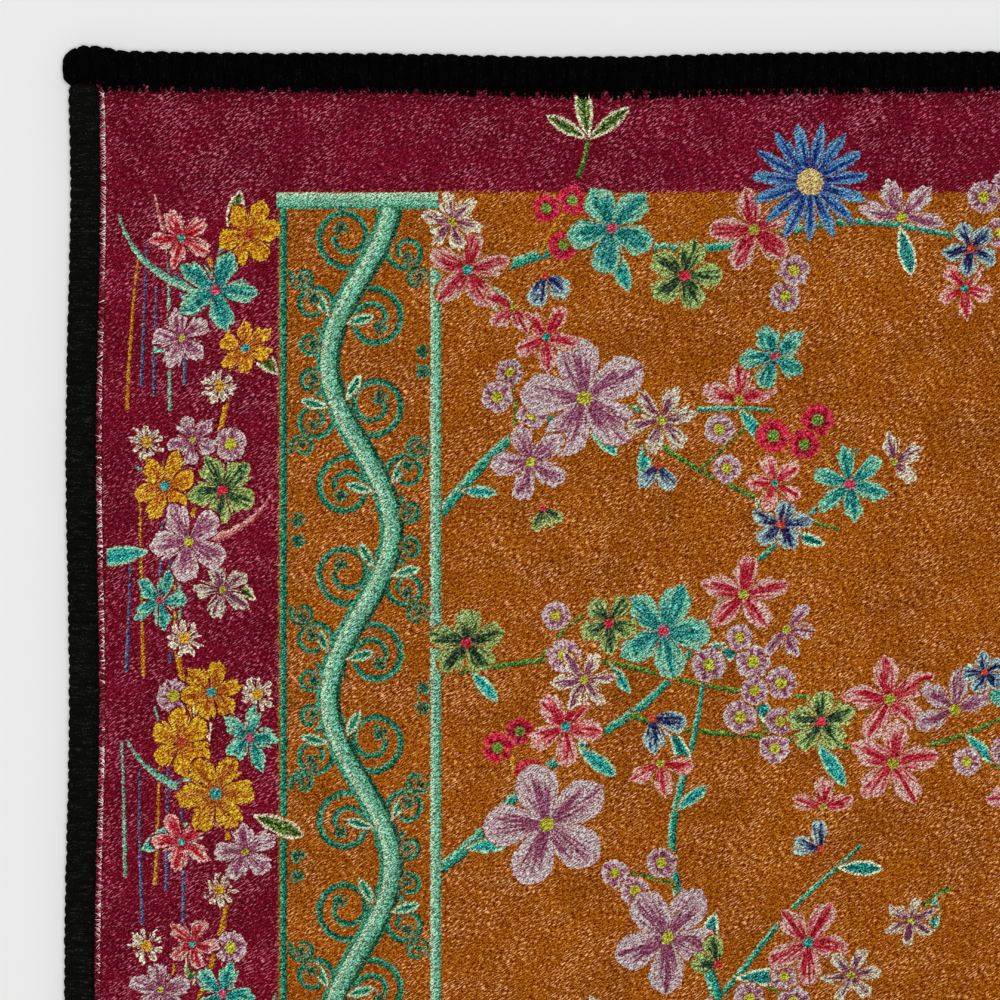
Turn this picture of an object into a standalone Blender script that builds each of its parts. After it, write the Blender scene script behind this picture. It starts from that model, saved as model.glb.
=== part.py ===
"""A flat floral pile rug with an overlocked yarn edging on its four sides.

Metres, +Z up, +Y along the rug. The origin is on the floor under the middle of the rug.
"""

import math

import bmesh
import bpy

MM = 0.001

# Size over the edging's corner knobs, before the edges' waver of under a millimetre.
RUG_WIDTH = 610 * MM
RUG_LENGTH = 914 * MM
PILE_HEIGHT = 6.0 * MM

# The edging is thread wound round the cut edge into a fat roll.
SIDE_EDGING_WIDTH = 8.6 * MM
END_EDGING_WIDTH = 9.8 * MM
EDGING_HEIGHT = 6.4 * MM
EDGING_WALL = 2.4 * MM
SECTION_POINTS = 14
SECTION_ROUNDNESS = 2.5

# The end runs pass over the corners and finish in knobs that stand out of both edges.
KNOB_SWELL = 1.14
KNOB_RISE = END_EDGING_WIDTH * (KNOB_SWELL - 1.0)
KNOB_OUT = 1.2 * MM

# The rim of bare backing that the edging grips.
RIM_THICKNESS = 2.2 * MM
RIM_CORNER = 3.0 * MM
PILE_CORNER = 1.5 * MM

GAP = 0.3 * MM
STATION_STEP = 24 * MM
CORNER_TURNS = (math.radians(30), math.radians(60))
SHARP_ANGLE = math.radians(50)
WELD = 0.01 * MM

# A cut edge is never quite straight. Each side wavers as the sum of two waves.
# Columns: side, wave length, swing, place of a crest along the side.
EDGE_WAVES = (
    ("left", 132 * MM, 0.55 * MM, 423 * MM),
    ("left", 301 * MM, 0.20 * MM, 90 * MM),
    ("right", 147 * MM, 0.50 * MM, -230 * MM),
    ("right", 263 * MM, 0.25 * MM, 35 * MM),
    ("top", 225 * MM, 0.62 * MM, -180 * MM),
    ("top", 88 * MM, 0.22 * MM, -264 * MM),
    ("bottom", 206 * MM, 0.55 * MM, 140 * MM),
    ("bottom", 97 * MM, 0.25 * MM, -20 * MM),
)

# How the roll is shaped towards an end that shows as a knob, and towards a plain end.
# Columns: distance from the end, size of the roll's section there.
KNOB_END = (
    (0.0 * MM, 0.42),
    (0.9 * MM, 0.80),
    (2.6 * MM, 1.04),
    (5.5 * MM, KNOB_SWELL),
    (9.5 * MM, 1.10),
    (15.0 * MM, 1.0),
)
PLAIN_END = (
    (0.0 * MM, 0.82),
    (1.6 * MM, 0.97),
    (4.0 * MM, 1.0),
)


def clear_scene():
    """Start from nothing."""
    for old in list(bpy.data.objects):
        bpy.data.objects.remove(old, do_unlink=True)


def new_collection(name):
    """A collection of the scene's own."""
    made = bpy.data.collections.new(name)
    bpy.context.scene.collection.children.link(made)
    return made


def principled(name, colour, roughness):
    """A plain Principled material with the part's colour, as a dielectric."""
    made = bpy.data.materials.new(name)
    made.use_nodes = True
    shader = made.node_tree.nodes["Principled BSDF"]
    shader.inputs["Base Color"].default_value = (*colour, 1.0)
    shader.inputs["Roughness"].default_value = roughness
    shader.inputs["Metallic"].default_value = 0.0
    return made


def waver(side, along):
    """How far a side's edge stands inwards of its mean line at this place."""
    return sum(
        swing * math.cos(math.tau * (along - crest) / length)
        for name, length, swing, crest in EDGE_WAVES
        if name == side
    )


def stations(low, high):
    """Evenly spaced places from low to high, near the station step."""
    count = round((high - low) / STATION_STEP)
    return [low + (high - low) * i / count for i in range(count + 1)]


def side_line(side, along, inset):
    """The X of a long side's edge, moved in by inset from the edging's outer line."""
    outer = RUG_WIDTH / 2 - KNOB_OUT - inset - waver(side, along)
    return -outer if side == "left" else outer


def end_line(side, along, inset):
    """The Y of a short end's edge, moved in by inset from the edging's outer line."""
    outer = RUG_LENGTH / 2 - KNOB_RISE - inset - waver(side, along)
    return outer if side == "top" else -outer


def outline(side_inset, end_inset, corner):
    """The rug's wavering outline, anticlockwise, moved in from the edging's outer line.

    The corners are arcs of the given radius, which is more than the edges waver.
    """
    reach_x = RUG_WIDTH / 2 - KNOB_OUT - side_inset - corner
    reach_y = RUG_LENGTH / 2 - KNOB_RISE - end_inset - corner
    across = stations(-reach_x, reach_x)
    along = stations(-reach_y, reach_y)
    points = [(x, end_line("bottom", x, end_inset)) for x in across]
    points += corner_arc("right", "bottom", side_inset, end_inset, corner)
    points += [(side_line("right", y, side_inset), y) for y in along]
    points += corner_arc("right", "top", side_inset, end_inset, corner)
    points += [(x, end_line("top", x, end_inset)) for x in reversed(across)]
    points += corner_arc("left", "top", side_inset, end_inset, corner)
    points += [(side_line("left", y, side_inset), y) for y in reversed(along)]
    points += corner_arc("left", "bottom", side_inset, end_inset, corner)
    return points


def corner_arc(side, end, side_inset, end_inset, corner):
    """The points that round one corner, between the last station and the next one."""
    out_x = 1 if side == "right" else -1
    out_y = 1 if end == "top" else -1
    reach_x = RUG_WIDTH / 2 - KNOB_OUT - side_inset - corner
    reach_y = RUG_LENGTH / 2 - KNOB_RISE - end_inset - corner
    edge_x = side_line(side, out_y * reach_y, side_inset)
    edge_y = end_line(end, out_x * reach_x, end_inset)
    arc = [
        (
            edge_x - out_x * corner * (1 - math.cos(turn)),
            edge_y - out_y * corner * (1 - math.sin(turn)),
        )
        for turn in CORNER_TURNS
    ]
    # Anticlockwise, the turn runs from the long side at the top right and bottom left.
    return arc if out_x == out_y else list(reversed(arc))


def curve_plate(name, points, low, high):
    """A flat plate of this outline between two heights, as a mesh object."""
    data = bpy.data.curves.new(name, "CURVE")
    data.dimensions = "2D"
    data.fill_mode = "BOTH"
    data.extrude = (high - low) / 2
    spline = data.splines.new("POLY")
    spline.points.add(len(points) - 1)
    for point, (x, y) in zip(spline.points, points):
        point.co = (x, y, 0, 1)
    spline.use_cyclic_u = True
    return as_mesh(name, data, (low + high) / 2)


def as_mesh(name, data, height):
    """The curve's shape as a welded mesh object at this height."""
    guide = bpy.data.objects.new(name + "_guide", data)
    bpy.context.scene.collection.objects.link(guide)
    guide.location.z = height
    bpy.context.view_layer.update()
    seen = guide.evaluated_get(bpy.context.evaluated_depsgraph_get())
    mesh = bpy.data.meshes.new_from_object(seen)
    shape = bmesh.new()
    shape.from_mesh(mesh)
    bmesh.ops.remove_doubles(shape, verts=shape.verts, dist=WELD)
    bmesh.ops.recalc_face_normals(shape, faces=shape.faces)
    shape.to_mesh(mesh)
    shape.free()
    mesh.name = name
    made = bpy.data.objects.new(name, mesh)
    made.matrix_world = guide.matrix_world.copy()
    bpy.data.objects.remove(guide, do_unlink=True)
    return made


def fullness(part_of_turn):
    """Fills out a circle's coordinate towards a square's."""
    return math.copysign(abs(part_of_turn) ** (2 / SECTION_ROUNDNESS), part_of_turn)


def roll_section(width):
    """The roll's cross-section as a closed flat curve: rounded, with a flat underside."""
    turns = [math.tau * (i + 0.5) / SECTION_POINTS for i in range(SECTION_POINTS)]
    points = [(fullness(math.cos(turn)), fullness(math.sin(turn))) for turn in turns]
    most_across = max(across for across, _ in points)
    most_up = max(up for _, up in points)
    data = bpy.data.curves.new("roll_section", "CURVE")
    data.dimensions = "2D"
    data.fill_mode = "NONE"
    spline = data.splines.new("POLY")
    spline.points.add(len(points) - 1)
    for point, (across, up) in zip(spline.points, points):
        point.co = (across / most_across * width / 2, up / most_up * EDGING_HEIGHT / 2, 0, 1)
    spline.use_cyclic_u = True
    return bpy.data.objects.new("roll_section", data)


def end_size(end, distance):
    """The size of the roll's section at this distance from an end."""
    for (near, small), (far, large) in zip(end, end[1:]):
        if distance <= far:
            return small + (large - small) * (distance - near) / (far - near)
    return 1.0


def roll_places(low, high, end):
    """Places along a roll: close together at its ends, then at even stations."""
    near_end = [distance for distance, _ in end]
    first = [low + distance for distance in near_end[:-1]]
    last = [high - distance for distance in reversed(near_end[:-1])]
    return first + stations(low + near_end[-1], high - near_end[-1]) + last


def roll(name, side, low, high, width, end):
    """One run of edging: a fat roll along a wavering edge, with shaped ends.

    Its inner line stays put where it swells, so the swelling all stands outwards.
    """
    section = roll_section(width)
    data = bpy.data.curves.new(name, "CURVE")
    data.dimensions = "3D"
    data.twist_mode = "Z_UP"
    data.bevel_mode = "OBJECT"
    data.bevel_object = section
    data.use_fill_caps = True
    places = roll_places(low, high, end)
    spline = data.splines.new("POLY")
    spline.points.add(len(places) - 1)
    for point, along in zip(spline.points, places):
        size = end_size(end, min(along - low, high - along))
        inset = width / 2 - width / 2 * (max(size, 1.0) - 1.0)
        height = EDGING_HEIGHT / 2 * max(size, 1.0)
        if side in ("left", "right"):
            point.co = (side_line(side, along, inset), along, height, 1)
        else:
            point.co = (along, end_line(side, along, inset), height, 1)
        point.radius = size
    made = as_mesh(name, data, 0)
    bpy.data.objects.remove(section, do_unlink=True)
    return made


def side_run(side):
    """Where a long side's run starts and stops, a gap short of the end runs."""
    across = [side_line(side, 0.0, inset) for inset in (0.0, SIDE_EDGING_WIDTH)]
    low = max(end_line("bottom", x, END_EDGING_WIDTH) for x in across)
    high = min(end_line("top", x, END_EDGING_WIDTH) for x in across)
    return low + GAP, high - GAP


def boolean(target, tool, operation):
    """A live Boolean of the target with the tool."""
    step = target.modifiers.new(operation.lower(), "BOOLEAN")
    step.operation = operation
    step.solver = "EXACT"
    step.object = tool
    tool.hide_render = True
    tool.display_type = "WIRE"


def finish(made, material, collection):
    """Gives a piece its material and its place in the rug."""
    made.data.materials.clear()
    made.data.materials.append(material)
    collection.objects.link(made)


def make_rug_body(rug, tools):
    """The pile cloth, with the thinner rim of backing that runs on inside the edging."""
    pile_cloth = principled("printed_pile_cloth", (0.24, 0.05, 0.02), 0.9)
    body = curve_plate(
        "rug_body",
        outline(SIDE_EDGING_WIDTH + GAP, END_EDGING_WIDTH + GAP, PILE_CORNER),
        0.0,
        PILE_HEIGHT,
    )
    middle = EDGING_HEIGHT / 2
    rim = curve_plate(
        "backing_rim",
        outline(EDGING_WALL + GAP, EDGING_WALL + GAP, RIM_CORNER),
        middle - RIM_THICKNESS / 2,
        middle + RIM_THICKNESS / 2,
    )
    tools.objects.link(rim)
    boolean(body, rim, "UNION")
    finish(body, pile_cloth, rug)


def make_edging(rug, tools):
    """The four rolls of edging, each grooved where it grips the rim."""
    yarn = principled("black_edging_yarn", (0.004, 0.004, 0.004), 0.75)
    middle = EDGING_HEIGHT / 2
    groove = curve_plate(
        "rim_groove",
        outline(EDGING_WALL, EDGING_WALL, RIM_CORNER),
        middle - RIM_THICKNESS / 2 - GAP,
        middle + RIM_THICKNESS / 2 + GAP,
    )
    tools.objects.link(groove)
    runs = [
        (side, -RUG_WIDTH / 2, RUG_WIDTH / 2, END_EDGING_WIDTH, KNOB_END)
        for side in ("top", "bottom")
    ]
    runs += [(side, *side_run(side), SIDE_EDGING_WIDTH, PLAIN_END) for side in ("left", "right")]
    for side, low, high, width, end in runs:
        made = roll("edging_" + side, side, low, high, width, end)
        boolean(made, groove, "DIFFERENCE")
        finish(made, yarn, rug)
        made.data.shade_smooth()
        made.data.set_sharp_from_angle(angle=SHARP_ANGLE)


def main():
    """Builds the rug."""
    clear_scene()
    rug = new_collection("floral_rug")
    tools = new_collection("cutters")
    make_rug_body(rug, tools)
    make_edging(rug, tools)


main()
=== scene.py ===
import math
import random
from collections import namedtuple

import bpy
import numpy as np
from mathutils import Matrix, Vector, geometry


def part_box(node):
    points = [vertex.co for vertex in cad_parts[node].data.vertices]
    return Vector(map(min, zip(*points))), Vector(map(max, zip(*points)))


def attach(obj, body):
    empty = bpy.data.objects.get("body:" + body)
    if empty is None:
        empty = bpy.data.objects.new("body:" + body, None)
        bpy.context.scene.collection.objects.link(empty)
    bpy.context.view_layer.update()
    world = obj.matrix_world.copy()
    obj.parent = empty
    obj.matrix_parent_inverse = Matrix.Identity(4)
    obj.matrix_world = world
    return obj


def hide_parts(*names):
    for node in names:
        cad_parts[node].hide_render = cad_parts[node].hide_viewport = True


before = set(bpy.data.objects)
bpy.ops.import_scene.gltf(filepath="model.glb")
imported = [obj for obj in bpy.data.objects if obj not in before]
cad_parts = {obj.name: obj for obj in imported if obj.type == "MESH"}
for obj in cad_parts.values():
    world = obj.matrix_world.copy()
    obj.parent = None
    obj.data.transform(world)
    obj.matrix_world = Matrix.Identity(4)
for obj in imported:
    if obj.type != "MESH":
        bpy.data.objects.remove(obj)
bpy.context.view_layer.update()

# Sizes here are millimetres and become metres when a mesh is made.
MM = 0.001

# The rug's driving sizes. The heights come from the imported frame.
RUG_WIDTH = 610.0
RUG_LENGTH = 914.0
PILE_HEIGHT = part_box("rug_body")[1][2] / MM
EDGING_HEIGHT = 6.4
SIDE_EDGING = 8.6
END_EDGING = 9.8
KNOB_SWELL = 1.14
KNOB_RISE = END_EDGING * (KNOB_SWELL - 1.0)
KNOB_OUT = 1.2
GAP = 0.3

# A cut edge is never quite straight. Each side wavers as the sum of two waves.
# Columns: side, wave length, swing, place of a crest along the side.
EDGE_WAVES = (
    ("left", 132.0, 0.55, 423.0),
    ("left", 301.0, 0.20, 90.0),
    ("right", 147.0, 0.50, -230.0),
    ("right", 263.0, 0.25, 35.0),
    ("top", 225.0, 0.62, -180.0),
    ("top", 88.0, 0.22, -264.0),
    ("bottom", 206.0, 0.55, 140.0),
    ("bottom", 97.0, 0.25, -20.0),
)

# The rolls' shape towards a knob and towards a plain end: distance from the end, size there.
KNOB_END = ((0.0, 0.56), (0.9, 0.84), (2.6, 1.05), (5.5, KNOB_SWELL), (9.5, 1.10), (15.0, 1.0))
PLAIN_END = ((0.0, 0.82), (1.6, 0.97), (4.0, 1.0))

# The printed zones, measured from the middle of the rug.
BORDER_X = 251.0
BORDER_Y = 420.5
BAND_WIDTH = 40.0
PRINT_X = 293.8
PRINT_Y = 444.6

# How far a patch of print reaches past its motif, and past a stem.
PATCH_MARGIN = 0.42
STEM_MARGIN = 0.4

# The upper left quarter has a grid of points, so that its plain ground isn't cut into slivers.
GRID_ACROSS, GRID_ALONG = 14, 21

# A point this near to the print's outline lies on it.
ON_EDGE = 0.001

# Printed dyes, as seen on the pile.
# Columns: name, rim of the motif, its middle tone, its strokes, its eye.
DYES = (
    ("lilac", "#b49c9c", "#9d7279", "#7a3a50", "#a09a22"),
    ("coral", "#c39083", "#b4484a", "#97101f", "#1f8478"),
    ("coral_lime", "#c29184", "#b24446", "#960f20", "#8f8c26"),
    ("mint", "#72ad8c", "#2c8a7c", "#096560", "#b8334a"),
    ("gold", "#c68f13", "#b96f0a", "#9c4a06", "#28857c"),
    ("gold_red", "#c9950f", "#bd780a", "#a25507", "#a2301c"),
    ("cream", "#c0b497", "#a89083", "#6e3249", "#99921e"),
    ("olive", "#8b9a52", "#4a6636", "#1d331c", "#b81a30"),
    ("slate", "#93aba1", "#5a7186", "#161c42", "#b8371a"),
    ("blue", "#4c7fa6", "#2c548c", "#132c68", "#c7a964"),
    ("scarlet", "#c6243c", "#a50f28", "#78081a", "#5c7a28"),
    ("ivory", "#d0c4ae", "#bfae92", "#93805f", "#b88018"),
    ("leaf_green", "#c8bd9c", "#6f823c", "#27400f", "#27400f"),
    ("leaf_teal", "#bcc39b", "#13857c", "#06554f", "#06554f"),
    ("leaf_mint", "#83b48e", "#2f9c8c", "#087a76", "#087a76"),
    ("vine", "#6cab86", "#157a62", "#085240", "#085240"),
    ("twig", "#5b7f2c", "#2f6322", "#1c4614", "#1c4614"),
    ("gold_twig", "#b9800f", "#ab6d08", "#8b4a06", "#8b4a06"),
    ("slate_twig", "#56657c", "#2c3c62", "#1a2444", "#1a2444"),
    ("pink_blade", "#cb9382", "#bd6f66", "#9c3e44", "#9c3e44"),
    ("mint_blade", "#83b08c", "#5f9c80", "#2b7a68", "#2b7a68"),
    ("scroll_dark", "#2f8060", "#0f6044", "#07452f", "#07452f"),
    ("scroll_light", "#93bb95", "#66a483", "#2f8060", "#2f8060"),
    ("scroll_leaf", "#93bb95", "#2f8060", "#0f6044", "#0f6044"),
)
DYE_NUMBER = {row[0]: number for number, row in enumerate(DYES)}

# Kinds of blossom. Columns: name, petals, how plump a petal is, how blunt its tip is, size of the eye.
BLOSSOMS = (
    ("lily", 5, 0.63, 2.8, 0.11),
    ("star", 5, 0.59, 2.2, 0.12),
    ("six", 6, 0.49, 2.2, 0.13),
    ("poppy", 6, 0.54, 3.6, 0.15),
    ("lobed", 5, 0.67, 3.0, 0.14),
    ("round", 6, 0.85, 6.0, 0.36),
    ("daisy", 15, 0.205, 2.6, 0.22),
    ("small_daisy", 9, 0.35, 4.0, 0.30),
)
BLOSSOM_SHAPE = {row[0]: row[1:] for row in BLOSSOMS}

# Ground colours of the print, and the tint of the painted glints on the pile.
CRIMSON = "#6a081d"
GOLD = "#914a05"
PAINTED_GLINT_TINT = "#93727c"
UNDERSIDE = "#5e564c"
# Ends of cut pile that stayed bare of dye, and those that took it.
BARE_ENDS = ("#f2e6e4", "#e4b9bc", "#c8808c", "#fbf5f2", "#a23a50")
DYED_ENDS = ("#6e0c20", "#7c1428", "#5a0818", "#a84a5a")

GROUND, BLOSSOM, LEAF, STEM, UNDERNEATH = range(5)


def waver(side, along):
    """How far a side's edge stands inwards of its mean line at this place."""
    return sum(
        swing * math.cos(math.tau * (along - crest) / length)
        for name, length, swing, crest in EDGE_WAVES
        if name == side
    )


def side_line(side, along, inset):
    """The X of a long side's edge, moved in by inset from the edging's outer line."""
    outer = RUG_WIDTH / 2 - KNOB_OUT - inset - waver(side, along)
    return -outer if side == "left" else outer


def end_line(side, along, inset):
    """The Y of a short end's edge, moved in by inset from the edging's outer line."""
    outer = RUG_LENGTH / 2 - KNOB_RISE - inset - waver(side, along)
    return outer if side == "top" else -outer


# The print: patches laid over each other, each with the frame that its pattern is drawn in.


def petal_width(x, plump, tip):
    """Half the width of a petal or leaf at this part of its length, as a part of its length."""
    return plump * x**0.85 * max(1.0 - x**tip, 0.0) ** 0.75


def placed(points, centre, heading):
    """Local points turned to a heading and moved to a centre."""
    c, s = math.cos(heading), math.sin(heading)
    return [(centre[0] + x * c - y * s, centre[1] + x * s + y * c) for x, y in points]


# origin, heading and squash place the patch's own flat map, and along shifts it on a stem.
# size is reach, plump and eye, and form is petals and tip.
Patch = namedtuple("Patch", "points kind origin heading squash along size form dye")


class Print:
    """The patches of print in the order that they cover each other."""

    def __init__(self):
        self.patches = []
        self.circles = []

    def patch(self, points, *rest):
        """Adds one patch, its points anticlockwise."""
        area = sum(
            x0 * y1 - x1 * y0
            for (x0, y0), (x1, y1) in zip(points, points[1:] + points[:1])
        )
        self.patches.append(Patch(points if area > 0 else points[::-1], *rest))

    def blossom(self, centre, reach, shape, dye, heading, squash=1.0, shown=None):
        """A blossom seen from the front, or from one side where only some petals are shown."""
        petals, plump, tip, eye = BLOSSOM_SHAPE[shape]
        half = math.pi / petals
        margin = PATCH_MARGIN / reach
        # The outline has points at these parts of a petal's length, fewer on a small petal.
        steps = (0.92, 0.72, 0.48) if reach > 9 and petals < 10 else (0.86, 0.55)
        flank = []
        for x in steps:
            across = petal_width(x, plump, tip) + margin
            if math.atan2(across, x + margin) < 0.92 * half:
                flank.append((math.hypot(across, x + margin), math.atan2(across, x + margin)))
        # Two petals meet where the half width reaches the line between them.
        low, high = 0.02, 1.0
        for _ in range(20):
            x = (low + high) / 2
            if petal_width(x, plump, tip) + margin > x * math.tan(half):
                low = x
            else:
                high = x
        notch = (high / math.cos(half), half)
        ring = []
        whole = shown is None or shown >= petals
        if not whole:
            ring += [(0.10, 3.5 * half), (0.14, -half), (notch[0] * 0.8, -half)]
            ring += [(r, -a) for r, a in flank]
        for k in range(petals if whole else shown):
            turn = 2 * half * k
            ring.append((1.0 + 1.6 * margin, turn))
            ring += [(r, turn + a) for r, a in flank]
            if whole or k < shown - 1:
                ring.append((notch[0], turn + notch[1]))
                ring += [(r, turn + 2 * half - a) for r, a in reversed(flank)]
            else:
                ring.append((notch[0] * 0.8, turn + half))
        if shape == "round":
            ring = [(1.03 + margin, math.tau * k / 10) for k in range(10)]
        if not whole:
            ring[0] = (0.16, 2 * half * (shown - 0.5) + 0.5 * (math.tau - 2 * half * shown))
            ring.append((0.14, 2 * half * (shown - 0.5)))
        points = [(r * reach * math.cos(a), squash * r * reach * math.sin(a)) for r, a in ring]
        points = placed(points, centre, heading)
        size, form = (reach, plump, eye), (petals, tip)
        self.patch(points, BLOSSOM, centre, heading, squash, 0.0, size, form, DYE_NUMBER[dye])
        self.circles.append((*centre, reach))

    def leaf(self, base, heading, length, dye, plump=0.42, tip=1.5):
        """A leaf or bud that grows from its base."""
        margin = PATCH_MARGIN
        flank = [
            (x * length, petal_width(x, plump, tip) * length + margin)
            for x in (0.06, 0.28, 0.55, 0.80)
        ]
        points = [(-margin, 0.0)] + flank + [(length + 1.4 * margin, 0.0)]
        points += [(x, -y) for x, y in reversed(flank)]
        points = placed(points, base, heading)
        size = (length, plump, 0.0)
        self.patch(points, LEAF, base, heading, 1.0, 0.0, size, (1, tip), DYE_NUMBER[dye])

    def stem(self, path, width, end_width, dye, margin=STEM_MARGIN):
        """A stem, tendril or blade along a path of x, y and heading."""
        last = len(path) - 1
        along = 0.0
        for i in range(last):
            (x0, y0, h0), (x1, y1, h1) = path[i], path[i + 1]
            half0 = (width + (end_width - width) * i / last) / 2
            half1 = (width + (end_width - width) * (i + 1) / last) / 2
            heading = math.atan2(y1 - y0, x1 - x0)
            points = []
            for x, y, h, half in ((x0, y0, h0, half0), (x1, y1, h1, half1)):
                points.append((x - math.sin(h) * (half + margin), y + math.cos(h) * (half + margin)))
                points.append((x + math.sin(h) * (half + margin), y - math.cos(h) * (half + margin)))
            corners = [points[1], points[3], points[2], points[0]]
            size = ((half0 + half1) / 2, 0.0, 0.0)
            self.patch(corners, STEM, (x0, y0), heading, 1.0, along, size, (1, 1.0), DYE_NUMBER[dye])
            along += math.hypot(x1 - x0, y1 - y0)


def walk(start, heading, length, bend, sway=0.0, waves=1.0, power=1.0, step=5.0):
    """A path that starts at a heading in degrees, bends by an angle and sways about its way."""
    count = max(2, round(length / step))
    stride = length / count
    x, y = start
    path = []
    for i in range(count + 1):
        part = i / count
        turn = bend * part**power + sway * math.sin(math.tau * waves * part)
        facing = math.radians(heading + turn)
        path.append((x, y, facing))
        x += stride * math.cos(facing)
        y += stride * math.sin(facing)
    return path


def point_on(path, part):
    """The place and heading at this part of a path."""
    place = part * (len(path) - 1)
    i = min(int(place), len(path) - 2)
    rest = place - i
    (x0, y0, h0), (x1, y1, h1) = path[i], path[i + 1]
    return (x0 + (x1 - x0) * rest, y0 + (y1 - y0) * rest), h0 + (h1 - h0) * rest


def aside(place, heading, distance):
    """A place moved off to the left of a heading."""
    return (place[0] - math.sin(heading) * distance, place[1] + math.cos(heading) * distance)


def on_wave(line, y):
    """A point of a line that waves up the rug, with its heading. A line is middle, swing and wave."""
    middle, swing, wave = line
    x = middle + swing * math.cos(math.tau * y / wave)
    slope = -swing * math.tau / wave * math.sin(math.tau * y / wave)
    return x, y, math.atan2(1.0, slope)


def room_at(art, centre, reach, share=0.62):
    """Whether a motif of this reach has its room there."""
    return all(
        math.hypot(centre[0] - x, centre[1] - y) > share * (reach + r)
        for x, y, r in art.circles
    )


def volute(art, centre, radius, start, turns, width):
    """A tendril that curls in from a start angle in degrees and ends in a small round knob."""
    # Twenty-seven degrees a step is smooth enough for a line this fine.
    count = max(6, round(abs(turns) * 360 / 27))
    path = []
    for i in range(count + 1):
        part = i / count
        reach = radius * (1.0 - 0.74 * part**0.9)
        angle = math.radians(start + 360.0 * turns * part)
        heading = angle + math.copysign(math.radians(90.0 + 10.0 * radius / (reach + 1.0)), turns)
        path.append((centre[0] + reach * math.cos(angle), centre[1] + reach * math.sin(angle), heading))
    art.stem(path, width, width * 0.8, "scroll_dark")
    art.blossom(path[-1][:2], width * 1.05, "round", "scroll_dark", 0.0)


# The band's vine: its wave length and swing, the width of its line and of the light in it.
VINE_WAVE, VINE_SWING = 84.0, 8.0
VINE_WIDTH, VINE_LIGHT = 6.2, 3.9

# The volutes of one bay of the band, on the side that the vine swings away from.
# Columns: way along from the bay's middle, way out from the band's middle line, radius, start angle
# on the vine's side, turns, width of the line.
BAY_VOLUTES = (
    (10.6, 3.4, 9.6, -38.0, 1.75, 1.7),
    (27.6, 11.6, 5.6, 62.0, -1.45, 1.5),
    (20.8, 14.2, 3.4, -150.0, -1.2, 1.3),
    (37.2, 12.4, 3.9, -70.0, 1.3, 1.4),
)


def scroll_band(art):
    """The scroll between the border and the field: a waving vine with volutes in every bay."""
    middle = -(BORDER_X - BAND_WIDTH / 2 - 0.5)
    line = (middle, VINE_SWING, VINE_WAVE)
    reach, step = BORDER_Y - 4.0, 4.0
    for bay in range(int(reach / (VINE_WAVE / 2)) + 2):
        out = -1 if bay % 2 == 0 else 1
        y = VINE_WAVE / 2 * bay
        for hand in (-1, 1):
            for along, away, radius, start, turns, width in BAY_VOLUTES:
                centre = (middle + out * away, y + hand * along)
                if not 0.0 < centre[1] < reach - 2.0:
                    continue
                # Start angles are for a bay on the left and above its middle, and mirror from there.
                angle = start if out < 0 else 180.0 - start
                angle = angle if hand > 0 else -angle
                volute(art, centre, radius, angle, turns * hand * -out, width)
            if 0.0 < y + hand * 4.0 < reach - 8.0:
                dot = (middle + out * 15.6, y + hand * 2.6)
                art.blossom(dot, 1.8, "round", "scroll_dark", 0.0)
    for edge, dye, width in (
        (-(BORDER_X - 1.4), "scroll_dark", 1.8),
        (-(BORDER_X - BAND_WIDTH + 0.6), "scroll_light", 2.6),
    ):
        path = [(edge, y, math.pi / 2) for y in np.linspace(-6.0, BORDER_Y - 1.0, 36)]
        art.stem(path, width, width, dye)
    for pair in range(int(reach / (VINE_WAVE / 4))):
        x, y, heading = on_wave(line, VINE_WAVE / 4 * (pair + 0.5))
        for side in (-1, 1):
            base = aside((x, y), heading, side * 2.4)
            art.leaf(base, heading + side * math.radians(52.0), 7.2, "scroll_leaf", 0.46)
    across = np.linspace(-BORDER_X - 0.4, -(BORDER_X - BAND_WIDTH), 5)
    art.stem([(x, BORDER_Y - 2.2, 0.0) for x in across], 4.2, 4.2, "scroll_light", 0.0)
    count = int((reach + step) / step)
    vine = [on_wave(line, -step + (reach + step) * i / count) for i in range(count + 1)]
    art.stem(vine, VINE_WIDTH, VINE_WIDTH, "scroll_dark", 0.0)
    art.stem(vine, VINE_LIGHT, VINE_LIGHT, "scroll_light", 0.0)


# The side border's twig: its wave length and swing. A posy stands at each crest.
TWIG_WAVE, TWIG_SWING = 126.0, 7.0

# One posy of the side border. Columns: way out from the twig, way along, reach of the blossom.
POSY = (
    (1.0, 0.0, 11.0),
    (-7.5, 14.0, 8.8),
    (9.5, 13.0, 8.8),
    (-6.5, -14.5, 8.0),
    (9.5, -12.0, 7.8),
    (2.0, 25.5, 7.2),
    (-9.5, 25.0, 4.4),
    (11.5, 24.5, 4.0),
    (0.0, -24.0, 4.4),
)
POSY_DYES = (
    ("gold", "mint", "gold_red", "lilac", "coral", "gold"),
    ("lilac", "gold", "olive", "mint", "cream", "lilac"),
    ("mint", "gold_red", "coral", "gold", "lilac", "slate"),
    ("gold_red", "lilac", "mint", "olive", "gold", "coral"),
)
POSY_SHAPES = {"gold": "poppy", "gold_red": "poppy", "olive": "lobed", "slate": "lobed", "lilac": "lily"}


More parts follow.
